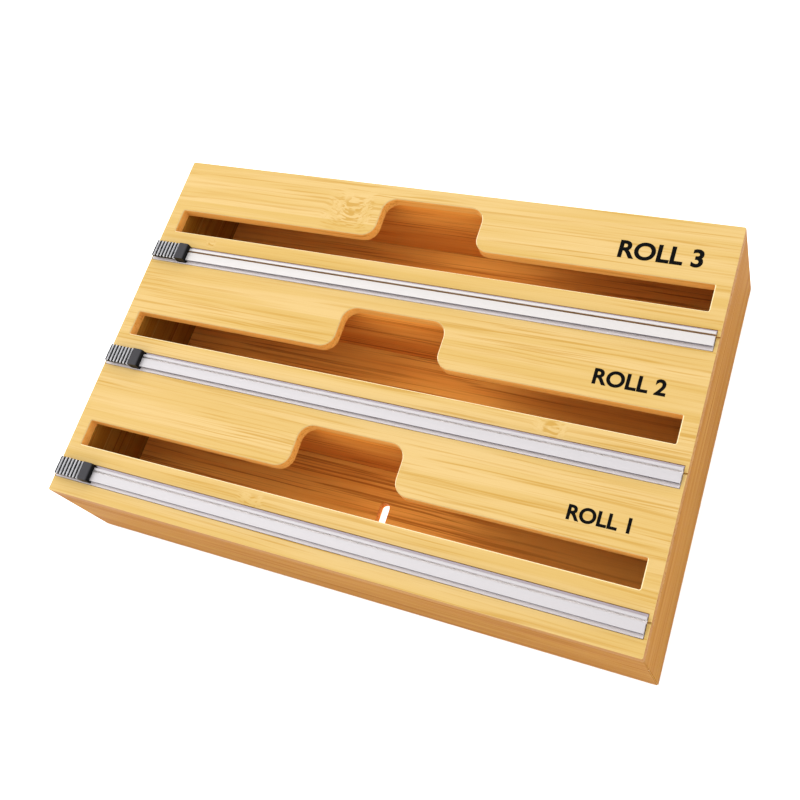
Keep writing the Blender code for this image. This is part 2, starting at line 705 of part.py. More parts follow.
def build_slider(prefix, i, lid_hinge, materials):
    at = (TRACK_LEFT + SLIDER_REST, track_y(i) - AXIS_Y, TRACK_Z - AXIS_Z)
    origin = add_empty(f"{prefix}_slider_origin", lid_hinge, at)
    name = f"{prefix}_slider_grip"
    mesh = prism_mesh(name, slider_outline(), -SLIDER_W / 2, SLIDER_W / 2, "Y")
    grip = add_object(name, mesh, origin, material=materials["slider"])
    channel = prism_mesh("channel", channel_outline(), -CUT_PAST, SLIDER_L + CUT_PAST, "X")
    cut(grip, add_object(f"{prefix}_channel_cutter", channel, origin))
    shoe_right = SLIDER_L - SHOE_END
    shoe_left = shoe_right - SHOE_L
    shoe_front = CUT_GROOVE_BACK - SHOE_W / 2
    shoe_back = CUT_GROOVE_BACK + SHOE_W / 2
    shoe_top = SLIDER_FLOOR + SHOE_H
    low = (shoe_left - FIT, shoe_front - FIT, SLIDER_FLOOR - FIT)
    high = (shoe_right + FIT, shoe_back + FIT, shoe_top + FIT)
    cut(grip, add_object(f"{prefix}_pocket_cutter", box_mesh("pocket", low, high), origin))

    name = f"{prefix}_blade_carrier"
    low = (shoe_left, shoe_front, SLIDER_FLOOR)
    high = (shoe_right, shoe_back, shoe_top)
    shoe = add_object(name, box_mesh(name, low, high), origin, material=materials["shoe"])
    middle_x = (shoe_left + shoe_right) / 2
    slit_x = BLADE_L / 2 + FIT
    slit_front = CUT_GROOVE_BACK - BLADE_T / 2 - FIT
    slit_back = CUT_GROOVE_BACK + BLADE_T / 2 + FIT
    low = (middle_x - slit_x, slit_front, SLIDER_FLOOR - CUT_PAST)
    high = (middle_x + slit_x, slit_back, SLIDER_FLOOR + BLADE_GRIP + FIT)
    cut(shoe, add_object(f"{prefix}_slit_cutter", box_mesh("slit", low, high), origin))

    name = f"{prefix}_blade"
    front, back = CUT_GROOVE_BACK - BLADE_T / 2, CUT_GROOVE_BACK + BLADE_T / 2
    mesh = prism_mesh(name, blade_outline(middle_x), front, back, "Y")
    add_object(name, mesh, origin, material=materials["blade"])


def main():
    clear_scene()
    bamboo = make_material("bamboo", BAMBOO, 0.45)
    bamboo_edge = make_material("bamboo_edge", BAMBOO_EDGE, 0.5)
    clear = make_material("clear_track_plastic", CLEAR_PLASTIC, 0.15, alpha=0.6)
    tape_white = make_material("foam_tape", TAPE_WHITE, 0.8)
    zinc = make_material("zinc_plated_steel", ZINC, 0.35, 1.0)
    nickel = make_material("nickel_plated_magnet", MAGNET_NICKEL, 0.25, 1.0)
    slider_materials = {
        "slider": make_material("dark_grey_abs", SLIDER_GREY, 0.4),
        "shoe": make_material("black_acetal", SHOE_BLACK, 0.5),
        "blade": make_material("blade_steel", STEEL, 0.3, 1.0),
    }

    root = add_empty("dispenser", location=(-BOX_W / 2, -DEPTH_ALL / 2, 0))
    box_axis = add_empty("hinge_line", root, (0, AXIS_Y, AXIS_Z))
    lid_hinge = add_empty("lid_hinge", root, (0, AXIS_Y, AXIS_Z))

    build_walls(root, bamboo_edge)
    build_base(root, bamboo_edge)
    build_dividers(root, bamboo_edge)
    build_lid(lid_hinge, bamboo)
    build_hinges(box_axis, lid_hinge, zinc)
    build_magnets(root, lid_hinge, nickel)
    names = ["front", "middle", "rear"]
    for i in range(BAYS):
        prefix = names[i] if i < len(names) else f"bay_{i}"
        build_track(prefix, i, lid_hinge, clear, tape_white)
        build_slider(prefix, i, lid_hinge, slider_materials)


main()
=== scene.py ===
"""The looks of a bamboo dispenser for three rolls of kitchen wrap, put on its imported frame.

Units are metres, X runs along the rolls, Y to the back and Z up. A value whose name ends in _mm
is in millimetres. Sizes and places come from the frame's own nodes.
"""

import logging
import math
from dataclasses import dataclass, replace
from enum import Enum
from functools import cache, partial
from typing import Callable

import bmesh
import bpy
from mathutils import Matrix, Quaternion, Vector


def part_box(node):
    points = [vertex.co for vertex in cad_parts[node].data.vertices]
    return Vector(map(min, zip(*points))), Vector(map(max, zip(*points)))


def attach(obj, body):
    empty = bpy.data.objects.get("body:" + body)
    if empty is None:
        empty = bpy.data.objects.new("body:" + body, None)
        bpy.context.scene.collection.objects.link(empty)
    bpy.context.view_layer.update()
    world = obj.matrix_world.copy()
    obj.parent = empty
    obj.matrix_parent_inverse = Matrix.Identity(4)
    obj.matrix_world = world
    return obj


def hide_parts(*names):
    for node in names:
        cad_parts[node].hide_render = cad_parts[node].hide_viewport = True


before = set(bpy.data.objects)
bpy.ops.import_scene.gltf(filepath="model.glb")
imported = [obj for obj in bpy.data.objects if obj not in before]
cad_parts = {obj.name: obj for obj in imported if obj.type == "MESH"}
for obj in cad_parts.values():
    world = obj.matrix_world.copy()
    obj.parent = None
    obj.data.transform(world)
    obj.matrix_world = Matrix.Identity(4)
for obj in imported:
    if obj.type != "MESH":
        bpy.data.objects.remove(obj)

MM = 0.001
BAYS = ("front", "middle", "rear")
SIDES = ("left", "right")
SMOOTH_BELOW_DEG = 35.0
GROOVE_MM = 2.5  # how far a divider goes into the walls at its ends

# Kinds of node, and settings that several nodes share
BUMP = "ShaderNodeBump"
MATHS = "ShaderNodeMath"
MIX = "ShaderNodeMix"
NOISE = "ShaderNodeTexNoise"
PLACE = "ShaderNodeTexCoord"
RANGE = "ShaderNodeMapRange"
SPLIT = "ShaderNodeSeparateXYZ"
EASED = {"interpolation_type": "SMOOTHSTEP"}
COLOURS = {"data_type": "RGBA"}
UNDER, OVER = 6, 7  # a colour mix's inputs

Colour = tuple[float, float, float, float]
Point2 = tuple[float, float]
Value = float | Colour | bpy.types.Node | bpy.types.NodeSocket
Inputs = tuple[Value, ...] | dict[str | int, Value]
AddNode = Callable[..., bpy.types.Node]
log = logging.getLogger("dispenser")


# Small tools


def linear(hex_colour: str) -> Colour:
    """Turns an sRGB hex colour into the linear colour that a shader takes.

    Args:
        hex_colour: six hex digits, with or without a leading #.

    Returns:
        Red, green, blue and an alpha of 1, in linear light.
    """
    digits = hex_colour.lstrip("#")
    channels = []
    for i in (0, 2, 4):
        value = int(digits[i : i + 2], 16) / 255
        channels.append(value / 12.92 if value <= 0.04045 else ((value + 0.055) / 1.055) ** 2.4)
    return (channels[0], channels[1], channels[2], 1.0)


def output(node: bpy.types.Node) -> bpy.types.NodeSocket:
    """The node's first live output."""
    return next(socket for socket in node.outputs if socket.enabled)


def add_node(
    tree: bpy.types.NodeTree, kind: str, inputs: Inputs = (), **settings: object
) -> bpy.types.Node:
    """Adds one node with its settings and links.

    Args:
        tree: the node tree that gets the node.
        kind: the node's type name.
        inputs: what goes in, in order or by input name or number. A node stands for its live output.
        settings: the node's own properties.

    Returns:
        The new node.
    """
    node = tree.nodes.new(kind)
    for name, value in settings.items():
        setattr(node, name, value)
    for name, value in inputs.items() if isinstance(inputs, dict) else enumerate(inputs):
        if isinstance(value, bpy.types.Node):
            value = output(value)
        if isinstance(value, bpy.types.NodeSocket):
            tree.links.new(value, node.inputs[name])
        else:
            node.inputs[name].default_value = value
    return node


def add_mesh(
    name: str, bm: bmesh.types.BMesh, finish: "Finish", body: str
) -> bpy.types.Object:
    """Makes a dressed piece that rides on a body.

    Args:
        name: the piece's name.
        bm: its shape in the frame's metres. It is freed.
        finish: what it is made of.
        body: the body that it moves with.

    Returns:
        The new object.
    """
    bmesh.ops.recalc_face_normals(bm, faces=bm.faces)
    mesh = bpy.data.meshes.new(name)
    bm.to_mesh(mesh)
    bm.free()
    mesh.materials.append(finish.material())
    mesh.shade_smooth()
    mesh.set_sharp_from_angle(angle=math.radians(SMOOTH_BELOW_DEG))
    piece = bpy.data.objects.new(name, mesh)
    bpy.context.scene.collection.objects.link(piece)
    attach(piece, body)
    return piece


def dress(node: str, finish: "Finish", soften_mm: float = 0.0) -> None:
    """Gives a frame node its finish and smooth shading.

    Args:
        node: the node's name.
        finish: what it is made of.
        soften_mm: width of a rounding added along its sharp edges, if any.
    """
    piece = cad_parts[node]
    piece.data.materials.clear()
    piece.data.materials.append(finish.material())
    piece.data.shade_smooth()
    piece.data.set_sharp_from_angle(angle=math.radians(SMOOTH_BELOW_DEG))
    if soften_mm:
        bevel = piece.modifiers.new("softened_edges", "BEVEL")
        bevel.width = soften_mm * MM
        bevel.segments = 2
        bevel.limit_method = "ANGLE"
        bevel.angle_limit = math.radians(SMOOTH_BELOW_DEG)


def arc(centre: Point2, radius: float, start_deg: float, end_deg: float, steps: int = 4) -> list[Point2]:
    """Points along an arc.

    Args:
        centre: the arc's centre.
        radius: its radius.
        start_deg: where it starts, anticlockwise from the first axis.
        end_deg: where it ends.
        steps: straight runs that it is made of.

    Returns:
        steps + 1 points.
    """
    angles = [math.radians(start_deg + (end_deg - start_deg) * i / steps) for i in range(steps + 1)]
    return [(centre[0] + radius * math.cos(a), centre[1] + radius * math.sin(a)) for a in angles]


def extrude_along_x(section: list[Point2], starts: float, ends: float) -> bmesh.types.BMesh:
    """Draws a (y, z) section out along X.

    Args:
        section: the closed section's points.
        starts: X of the first end.
        ends: X of the other end.

    Returns:
        The closed shape.
    """
    bm = bmesh.new()
    near = [bm.verts.new((starts, y, z)) for y, z in section]
    far = [bm.verts.new((ends, y, z)) for y, z in section]
    for i in range(len(section)):
        j = (i + 1) % len(section)
        bm.faces.new((near[i], near[j], far[j], far[i]))
    bm.faces.new(near[::-1])
    bm.faces.new(far)
    return bm


# Finishes


@dataclass(frozen=True)
class Finish:
    """A material with the way its surface was made."""

    name: str

    @cache
    def material(self) -> bpy.types.Material:
        """Builds the material once and hands out the same one after that."""
        made = bpy.data.materials.new(self.name)
        made.use_nodes = True
        shader = made.node_tree.nodes["Principled BSDF"]
        add = partial(add_node, made.node_tree)
        for name, value in self.draw(add, shader).items():
            made.node_tree.links.new(output(value), shader.inputs[name])
        return made

    def draw(self, add: AddNode, shader: bpy.types.Node) -> dict[str, bpy.types.Node]:
        """Sets the shader's plain values and draws the rest.

        Args:
            add: add_node with the material's tree filled in.
            shader: the material's shader.

        Returns:
            The node that goes into each of the shader's inputs, by the input's name.
        """
        raise NotImplementedError


class Grain(Enum):
    """The way that a board's fibres run."""

    ALONG_X = "along_x"
    ALONG_Y = "along_y"


class Strips(Enum):
    """How a board is laminated from bamboo strips."""

    SIDE_BY_SIDE = "side_by_side"
    STACKED = "stacked"


@dataclass(frozen=True)
class Knuckle:
    """A scar where the cane had a joint: fibres bend round it, and short dark flecks cross it."""

    along_mm: float
    across_mm: float
    reach_mm: float
    spread_mm: float
    lift_mm: float


@dataclass(frozen=True)
class WoodTones:
    """The sRGB colours of one kind of bamboo surface."""

    pale: str
    deep: str
    streak: str


@dataclass(frozen=True)
class LaminatedBamboo(Finish):
    """Natural moso bamboo: strips glued edge to edge, planed, sanded and oiled to a satin.

    That gives straight pale fibres with thin honey-coloured streaks, strips that differ slightly in
    tone, and cut edges that look darker and more orange than the face; on upright sides that brown
    is partly painted shade. Slots and the inside of the box are painted amber as light that has met
    bamboo more than once, and rounded edges carry painted highlights. The fibres are drawn about
    twice as coarse as real ones, which would be too fine to show.
    """

    grain: Grain
    strips: Strips
    face: WoodTones
    cut: WoodTones
    # Painted light: the amber that the space inside the box is painted
    inside: WoodTones
    rim: WoodTones
    rim_mm: float = 1.0
    margin_mm: float = 0.1
    strip_mm: float = 20.0
    strip_start_mm: float = 0.0
    strip_seed: float = 0.0
    strip_contrast: float = 0.35
    strip_shift_mm: float = 700.0
    glue_line_mm: float = 0.5
    sway_mm: float = 1.0
    sway_length_mm: float = 70.0
    sway_width_mm: float = 14.0
    band_mm: float = 7.0
    band_length_mm: float = 150.0
    band_strength: float = 0.6
    gap_mm: float = 17.5
    gap_length_mm: float = 90.0
    streak_mm: float = 1.2
    streak_length_mm: float = 110.0
    streak_strength: float = 0.75
    fibre_mm: float = 0.5
    fibre_length_mm: float = 50.0
    fibre_strength: float = 0.2
    fleck_mm: float = 1.5
    fleck_length_mm: float = 8.0
    knuckles: tuple[Knuckle, ...] = ()
    # Share of the pale painted highlight on rounded edges; caught_light is the brighter painted
    # highlight where they face back or left
    edge_highlight_strength: float = 0.0
    caught_light: str = "#d8c9a0"
    joint_tint: str = "#b08a4c"
    joint_strength: float = 0.6
    face_joint_strength: float = 0.35
    roughness: float = 0.5
    gloss: float = 0.06

    def draw(self, add: AddNode, shader: bpy.types.Node) -> dict[str, bpy.types.Node]:
        """Draws the grain in the board's own millimetres, then tones it by the kind of surface.

        The limits of each RANGE on a noise are the values between which its mark comes in.

        Args:
            add: add_node with the material's tree filled in.
            shader: the material's shader.

        Returns:
            The nodes for the shader's colour, roughness and normal.
        """
        shader.inputs["Specular IOR Level"].default_value = self.gloss
        place = add(PLACE)
        inputs = {0: place.outputs["Object"], "Scale": 1 / MM}
        in_mm = add("ShaderNodeVectorMath", inputs, operation="SCALE")
        x, y, z = add(SPLIT, (in_mm,)).outputs
        along, across, up = (x, y, z) if self.grain is Grain.ALONG_X else (y, x, z)

        chance, joint = self.lay_strips(add, across if self.strips is Strips.SIDE_BY_SIDE else up)
        strip_along = add(MATHS, (chance, self.strip_shift_mm, along), operation="MULTIPLY_ADD")
        axes = (strip_along, across, up)
        sway = self.noise(add, axes, self.sway_length_mm, self.sway_width_mm, 1.0, 0.0)
        sway = add(MATHS, (sway, 0.5), operation="SUBTRACT")
        sway = add(MATHS, (sway, 2 * self.sway_mm), operation="MULTIPLY")
        sway, scar = self.bend_to_knuckles(add, along, across, sway)
        across = add(MATHS, (across, sway), operation="ADD")
        up = add(MATHS, (up, sway), operation="ADD")
        axes = (strip_along, across, up)

        bands = self.noise(add, axes, self.band_length_mm, self.band_mm, 1.0, 1.0)
        bands = add(RANGE, (bands, 0.38, 0.62), **EASED)
        streaks = self.draw_streaks(add, axes, scar)
        fibres = self.noise(add, axes, self.fibre_length_mm, self.fibre_mm, 2.0, 4.0)
        contrast = add(MATHS, (chance, self.strip_contrast), operation="MULTIPLY")
        depth = add(MATHS, (bands, self.band_strength, contrast), operation="MULTIPLY_ADD")
        face, cut, rim, inside = [
            self.tone(add, tones, depth, streaks, fibres)
            for tones in (self.face, self.cut, self.rim, self.inside)
        ]

        on_face = add(MATHS, (joint, self.face_joint_strength), operation="MULTIPLY")
        face = add(MIX, {0: on_face, UNDER: face, OVER: linear(self.face.pale)}, **COLOURS)
        # The lid's outer rim takes the rim tones and its slot walls the cut tones: brown that is partly
        # painted shade, and amber painted light
        edge = add(MIX, {0: self.at_rim(add, x, y), UNDER: cut, OVER: rim}, **COLOURS)
        on_edge = add(MATHS, (joint, self.joint_strength), operation="MULTIPLY")
        edge = add(MIX, {0: on_edge, UNDER: edge, OVER: linear(self.joint_tint)}, **COLOURS)
        colour = self.paint_edge_highlights(add, place.outputs["Normal"], face, edge)
        # Painted light: the space inside the box is painted the amber of light bounced between bamboo
        # walls
        colour = add(MIX, {0: self.in_bays(add, x, y, z), UNDER: colour, OVER: inside}, **COLOURS)

        # Streaks are softer than the fibres round them, so sanding leaves them duller and sunk
        rough = add(MATHS, (streaks, 0.12, self.roughness), operation="MULTIPLY_ADD")
        relief = add(MATHS, (streaks, -0.6, fibres), operation="MULTIPLY_ADD")
        bump = add(BUMP, {"Strength": 0.25, "Distance": 0.05 * MM, "Height": relief})
        return {"Base Color": colour, "Roughness": rough, "Normal": bump}

    def noise(
        self,
        add: AddNode,
        axes: tuple[Value, ...],
        length_mm: float,
        width_mm: float,
        detail: float,
        seed: float,
    ) -> bpy.types.Node:
        """Draws noise stretched along the grain.

        Args:
            add: add_node with the tree filled in.
            axes: places along, across and up the board, in millimetres.
            length_mm: the pattern's size along the grain.
            width_mm: its size across the grain.
            detail: how much finer noise it holds.
            seed: tells it from the other patterns.

        Returns:
            The noise, from 0 to 1.
        """
        sizes = (length_mm, width_mm, width_mm)
        scaled = tuple(add(MATHS, pair, operation="DIVIDE") for pair in zip(axes, sizes))
        place = add("ShaderNodeCombineXYZ", scaled)
        inputs = {"Vector": place, "W": seed, "Scale": 1.0, "Detail": detail}
        return add(NOISE, inputs, noise_dimensions="4D")

    def lay_strips(self, add: AddNode, lane: Value) -> tuple[bpy.types.Node, bpy.types.Node]:
        """Divides the board into strips.

        Args:
            add: add_node with the tree filled in.
            lane: the place across the strips, in millimetres.

        Returns:
            Each strip's own chance, from 0 to 1, and how near a glue line is, up to 1 on it.
        """
        strips = add(MATHS, (lane, self.strip_start_mm), operation="SUBTRACT")
        strips = add(MATHS, (strips, self.strip_mm), operation="DIVIDE")
        number = add(MATHS, (strips,), operation="FLOOR")
        number = add(MATHS, (number, self.strip_seed), operation="ADD")
        chance = add("ShaderNodeTexWhiteNoise", {"W": number}, noise_dimensions="1D")
        part = add(MATHS, (strips,), operation="FRACT")
        part = add(MATHS, (part, 0.5), operation="SUBTRACT")
        from_middle = add(MATHS, (part,), operation="ABSOLUTE")
        joint = add(RANGE, (from_middle, 0.5 - self.glue_line_mm / self.strip_mm, 0.5), **EASED)
        return chance, joint

    def bend_to_knuckles(
        self, add: AddNode, along: Value, across: Value, sway: Value
    ) -> tuple[Value, Value]:
        """Bends the fibres towards each knuckle from one side.

        Args:
            add: add_node with the tree filled in.
            along: the place along the board, in millimetres.
            across: the place across it.
            sway: how far the fibres already stray.

        Returns:
            The sway with the bends in it, and how strongly each spot is scarred, up to 1.
        """
        scar: Value = 0.0
        for knuckle in self.knuckles:
            u = add(MATHS, (along, knuckle.along_mm), operation="SUBTRACT")
            u = add(MATHS, (u, knuckle.reach_mm), operation="DIVIDE")
            v = add(MATHS, (across, knuckle.across_mm), operation="SUBTRACT")
            v = add(MATHS, (v, knuckle.spread_mm), operation="DIVIDE")
            v = add(MATHS, (v, v), operation="MULTIPLY")
            v = add(MATHS, (v, -1.0), operation="MULTIPLY")
            near = add(MATHS, (v,), operation="EXPONENT")
            rises, falls = add(RANGE, (u, -1.3, 0.0), **EASED), add(RANGE, (u, 0.7, 0.1), **EASED)
            bend = add(MATHS, (rises, falls), operation="MULTIPLY")
            bend = add(MATHS, (near, bend), operation="MULTIPLY")
            sway = add(MATHS, (bend, knuckle.lift_mm, sway), operation="MULTIPLY_ADD")
            starts, ends = add(RANGE, (u, -0.8, -0.2), **EASED), add(RANGE, (u, 0.35, 0.1), **EASED)
            mark = add(MATHS, (near, starts), operation="MULTIPLY")
            mark = add(MATHS, (mark, ends), operation="MULTIPLY")
            scar = add(MATHS, (scar, mark), operation="MAXIMUM")
        return sway, scar

    def draw_streaks(self, add: AddNode, axes: tuple[Value, ...], scar: Value) -> bpy.types.Node:
        """Draws long streaks, thinner in some places than in others, and flecks where a knuckle is.

        Args:
            add: add_node with the tree filled in.
            axes: places along, across and up the board, in millimetres.
            scar: how strongly each spot is scarred.

        Returns:
            The streaks' strength, from 0 to 1.
        """
        gaps = self.noise(add, axes, self.gap_length_mm, self.gap_mm, 1.0, 3.0)
        gaps = add(RANGE, (gaps, 0.32, 0.62), **EASED)
        share = add(MATHS, (gaps, 0.75, 0.25), operation="MULTIPLY_ADD")
        streaks = self.noise(add, axes, self.streak_length_mm, self.streak_mm, 2.0, 2.0)
        streaks = add(RANGE, (streaks, 0.50, 0.66), **EASED)
        streaks = add(MATHS, (share, streaks), operation="MULTIPLY")
        if self.knuckles:
            flecks = self.noise(add, axes, self.fleck_length_mm, self.fleck_mm, 0.0, 5.0)
            flecks = add(RANGE, (flecks, 0.50, 0.57), **EASED)
            flecks = add(MATHS, (flecks, add(RANGE, (scar, 0.15, 0.6), **EASED)), operation="MULTIPLY")
            streaks = add(MATHS, (streaks, flecks), operation="MAXIMUM")
        return streaks

    def tone(
        self, add: AddNode, tones: WoodTones, depth: Value, streaks: Value, fibres: Value
    ) -> bpy.types.Node:
        """Colours the grain for one kind of surface.

        Args:
            add: add_node with the tree filled in.
            tones: the surface's colours.
            depth: the share of the deep tone.
            streaks: the streaks' strength.
            fibres: the fibres' noise.

        Returns:
            The colour.
        """
        ground = add(MIX, {0: depth, UNDER: linear(tones.pale), OVER: linear(tones.deep)}, **COLOURS)
        for strength, share in (
            (self.streak_strength, streaks),
            (self.fibre_strength, add(RANGE, (fibres, 0.44, 0.72), **EASED)),
        ):
            share = add(MATHS, (share, strength), operation="MULTIPLY")
            ground = add(MIX, {0: share, UNDER: ground, OVER: linear(tones.streak)}, **COLOURS)
        return ground

    def paint_edge_highlights(self, add: AddNode, normal: Value, face: Value, edge: Value) -> bpy.types.Node:
        """Joins the flat faces' colour to the cut edges', with a painted highlight along the rounding
        between them.

        Args:
            add: add_node with the tree filled in.
            normal: the way that the surface looks.
            face: the flat faces' colour.
            edge: the cut edges' colour.

        Returns:
            The colour.
        """
        right_part, back_part, up_part = add(SPLIT, (normal,)).outputs
        flat = add(MATHS, (up_part,), operation="ABSOLUTE")
        upright = add(RANGE, (flat, 0.60, 0.40), **EASED)
        colour = add(MIX, {0: upright, UNDER: face, OVER: edge}, **COLOURS)
        # Painted highlight: the rounding between face and edge is painted in the face's pale tone
        starts, ends = add(RANGE, (flat, 0.35, 0.55), **EASED), add(RANGE, (flat, 0.97, 0.85), **EASED)
        rounding = add(MATHS, (starts, ends), operation="MULTIPLY")
        rounding = add(MATHS, (rounding, self.edge_highlight_strength), operation="MULTIPLY")
        colour = add(MIX, {0: rounding, UNDER: colour, OVER: linear(self.face.pale)}, **COLOURS)
        # A brighter painted highlight where the rounding faces the back or the left
        caught = add(MATHS, (back_part, right_part), operation="SUBTRACT")
        caught = add(RANGE, (caught, 0.1, 0.4), **EASED)
        caught = add(MATHS, (rounding, caught), operation="MULTIPLY")
        return add(MIX, {0: caught, UNDER: colour, OVER: linear(self.caught_light)}, **COLOURS)

    def at_rim(self, add: AddNode, x: Value, y: Value) -> bpy.types.Node:
        """1 on the lid's outer rim and beyond it, else 0, at a place in millimetres."""
        low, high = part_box("lid_panel")
        aside = add(MATHS, (x,), operation="ABSOLUTE")
        aside = add(MATHS, (aside, (high.x - low.x) / 2 / MM - self.rim_mm), operation="GREATER_THAN")
        off = add(MATHS, (y, (low.y + high.y) / 2 / MM), operation="SUBTRACT")
        off = add(MATHS, (off,), operation="ABSOLUTE")
        off = add(MATHS, (off, (high.y - low.y) / 2 / MM - self.rim_mm), operation="GREATER_THAN")
        return add(MATHS, (aside, off), operation="MAXIMUM")

    def in_bays(self, add: AddNode, x: Value, y: Value, z: Value) -> bpy.types.Node:
        """1 in the space that the walls and the lid close in, else 0, at a place in millimetres."""
        front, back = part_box("front_wall")[1].y / MM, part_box("back_wall")[0].y / MM
        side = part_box("front_divider")[1].x / MM - GROOVE_MM
        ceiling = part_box("lid_panel")[0].z / MM
        aside = add(MATHS, (x,), operation="ABSOLUTE")
        aside = add(MATHS, (aside, side - self.margin_mm), operation="LESS_THAN")
        off = add(MATHS, (y, (front + back) / 2), operation="SUBTRACT")
        off = add(MATHS, (off,), operation="ABSOLUTE")
        off = add(MATHS, (off, (back - front) / 2 + self.margin_mm), operation="LESS_THAN")
        below = add(MATHS, (z, ceiling - self.margin_mm), operation="LESS_THAN")
        return add(MATHS, (add(MATHS, (aside, off), operation="MULTIPLY"), below), operation="MULTIPLY")


@dataclass(frozen=True)
class ClearPvc(Finish):
    """Extruded clear PVC: slightly milky, with draw lines along it that blur its gloss.

    The lines are drawn several times as wide as real ones, which would be too fine to show.
    The flanges, the groove and the head's front side each have a painted tone of their own: a painted
    shadow on the back flange, painted light on the front flange, a painted shade line along the head's
    front side, and a painted tone in the groove, light by default and brown shade in the rear track.
    """

    bay: str
    tint: str = "#b2aeb0"
    back_flange_shadow: str = "#9c9096"
    front_flange_light: str = "#bcb4b4"
    step_shade: str = "#5e5c66"
    groove_light_and_shade: str = "#e8e2e0"
    groove_at_mm: float = 1.9
    step_at_mm: float = 3.9
    line_reach_mm: float = 0.8
    head_depth_mm: float = 0.3
    ior: float = 1.53
    specular: float = 0.3
    roughness: float = 0.3
    milkiness: float = 0.7
    draw_line_mm: float = 0.6
    draw_line_length_mm: float = 500.0

    def draw(self, add: AddNode, shader: bpy.types.Node) -> dict[str, bpy.types.Node]:
        """Sets a clear body with a little milk in it, and draw lines in its gloss."""
        shader.inputs["IOR"].default_value = self.ior
        shader.inputs["Transmission Weight"].default_value = 1.0 - self.milkiness
        shader.inputs["Specular IOR Level"].default_value = self.specular
        place = add(PLACE)
        _, across, height = add(SPLIT, (place.outputs["Object"],)).outputs
        _, back_part, _ = add(SPLIT, (place.outputs["Normal"],)).outputs
        low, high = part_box(f"{self.bay}_track")
        middle = (low.y + high.y) / 2

        # Painted shadow on the back flange and painted light on the front flange
        behind = add(MATHS, (across, middle), operation="GREATER_THAN")
        front, back = linear(self.front_flange_light), linear(self.back_flange_shadow)
        flange = add(MIX, {0: behind, UNDER: front, OVER: back}, **COLOURS)
        sunk = add(MATHS, (height, high.z - self.head_depth_mm * MM), operation="LESS_THAN")
        colour = add(MIX, {0: sunk, UNDER: linear(self.tint), OVER: flange}, **COLOURS)
        steep = add(MATHS, (back_part, -0.5), operation="LESS_THAN")
        # A painted tone in the groove, and a painted shade line on the head's front side
        for line, tint, zone in (
            (middle + self.groove_at_mm * MM, self.groove_light_and_shade, sunk),
            (middle - self.step_at_mm * MM, self.step_shade, steep),
        ):
            away = add(MATHS, (across, line), operation="SUBTRACT")
            away = add(MATHS, (away,), operation="ABSOLUTE")
            close = add(MATHS, (away, self.line_reach_mm * MM), operation="LESS_THAN")
            close = add(MATHS, (zone, close), operation="MULTIPLY")
            colour = add(MIX, {0: close, UNDER: colour, OVER: linear(tint)}, **COLOURS)

        width = self.draw_line_mm * MM
        size = (1 / (self.draw_line_length_mm * MM), 1 / width, 1 / width)
        stretch = add("ShaderNodeMapping", {"Vector": place.outputs["Object"], "Scale": size})
        lines = add(NOISE, {"Vector": stretch, "Scale": 1.0, "Detail": 1.0})
        rough = add(RANGE, (lines, 0.0, 1.0, self.roughness, self.roughness + 0.12))
        bump = add(BUMP, {"Strength": 0.2, "Distance": 0.02 * MM, "Height": lines})
        return {"Base Color": colour, "Roughness": rough, "Normal": bump}


@dataclass(frozen=True)
class MouldedPlastic(Finish):
    """Injection-moulded plastic with a fine spark-eroded texture, which blurs its gloss.

    The texture is drawn several times as coarse as a real one, which would be too fine to show.
    """

    colour: str
    ior: float
    roughness: float
    grit_mm: float = 0.35
    grit_depth_mm: float = 0.02
    mottle: float = 0.12

    def draw(self, add: AddNode, shader: bpy.types.Node) -> dict[str, bpy.types.Node]:
        """Sets the colour with a faint mottle, and the texture in roughness and relief."""
        shader.inputs["IOR"].default_value = self.ior
        place = add(PLACE).outputs["Object"]
        grit = add(NOISE, {"Vector": place, "Scale": 1 / (self.grit_mm * MM), "Detail": 3.0})
        base = linear(self.colour)[:3]
        darker = (*[channel * (1 - self.mottle) for channel in base], 1.0)
        lighter = (*[min(1.0, channel * (1 + self.mottle)) for channel in base], 1.0)
        share = add(RANGE, (grit, 0.3, 0.7))
        colour = add(MIX, {0: share, UNDER: darker, OVER: lighter}, **COLOURS)
        rough = add(RANGE, (grit, 0.0, 1.0, self.roughness - 0.05, self.roughness + 0.1))
        bump = add(BUMP, {"Strength": 0.5, "Distance": self.grit_depth_mm * MM, "Height": grit})
        return {"Base Color": colour, "Roughness": rough, "Normal": bump}


